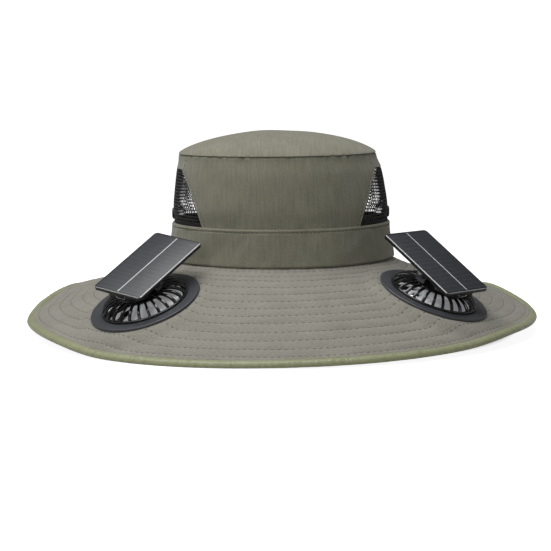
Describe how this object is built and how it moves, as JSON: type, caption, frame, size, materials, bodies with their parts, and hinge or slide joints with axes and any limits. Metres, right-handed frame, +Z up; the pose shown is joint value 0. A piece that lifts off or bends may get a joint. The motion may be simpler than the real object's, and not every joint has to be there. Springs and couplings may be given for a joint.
{
  "type": "sun hat with two solar fans",
  "caption": "Wide-brimmed cloth sun hat with net side windows, a sewn brim, and two brim fans, each under a small solar panel on a tilting hinge.",
  "frame": {"origin": "middle of the hat's box in plan, at the lowest point of the brim's edge", "axes": "+Z up, -Y the front of the hat, +X the wearer's left"},
  "size_m": [0.4068, 0.4121, 0.1594],
  "materials": {
    "olive_cloth": "tight plain-woven polyester, matt with a slight sheen",
    "edge_satin": "satin binding, slight sheen",
    "black_net": "knitted black net",
    "satin_grey_plastic": "moulded, satin",
    "gloss_black_plastic": "moulded, gloss",
    "light_grey_plastic": "moulded, satin",
    "black_plastic": "moulded, fine grain",
    "solar_cell": "cells under clear resin",
    "steel": "plated"
  },
  "bodies": {
    "hat": {"brim": "olive_cloth", "crown_back_panel": "olive_cloth", "crown_front_panel": "olive_cloth", "crown_top": "olive_cloth", "edge_binding": "edge_satin", "hat_band": "olive_cloth", "left_fan_cover": "gloss_black_plastic", "left_fan_flange": "satin_grey_plastic", "left_fan_guard": "gloss_black_plastic", "left_fan_motor": "steel", "left_hinge_pin": "steel", "left_panel_bracket": "satin_grey_plastic", "right_fan_cover": "gloss_black_plastic", "right_fan_flange": "satin_grey_plastic", "right_fan_guard": "gloss_black_plastic", "right_fan_motor": "steel", "right_hinge_pin": "steel", "right_panel_bracket": "satin_grey_plastic", "side_net_left": "black_net", "side_net_right": "black_net", "side_snap_left": "gloss_black_plastic", "side_snap_right": "gloss_black_plastic"},
    "left_fan_rotor": {"left_impeller": "light_grey_plastic"},
    "left_panel": {"left_panel_tray": "black_plastic", "left_solar_cells": "solar_cell", "left_panel_box": "black_plastic", "left_charge_socket": "steel"},
    "right_fan_rotor": {"right_impeller": "light_grey_plastic"},
    "right_panel": {"right_panel_tray": "black_plastic", "right_solar_cells": "solar_cell", "right_panel_box": "black_plastic", "right_charge_socket": "steel"}
  },
  "joints": [
    {"name": "left_fan_spin", "type": "hinge", "parent": "hat", "child": "left_fan_rotor", "pos_m": [-0.10201, -0.1075, 0.03478], "axis": [-0.2671, -0.3085, 0.913], "continuous": true},
    {"name": "left_panel_tilt", "type": "hinge", "parent": "hat", "child": "left_panel", "pos_m": [-0.1027, -0.10806, 0.05389], "axis": [-0.8018, 0.5812, 0.1388], "range_deg": [0, 12]},
    {"name": "right_fan_spin", "type": "hinge", "parent": "hat", "child": "right_fan_rotor", "pos_m": [0.11398, -0.09362, 0.03625], "axis": [0.3146, -0.2179, 0.9239], "continuous": true},
    {"name": "right_panel_tilt", "type": "hinge", "parent": "hat", "child": "right_panel", "pos_m": [0.11528, -0.09263, 0.05531], "axis": [-0.7537, -0.6571, -0.0133], "range_deg": [0, 12]}
  ]
}
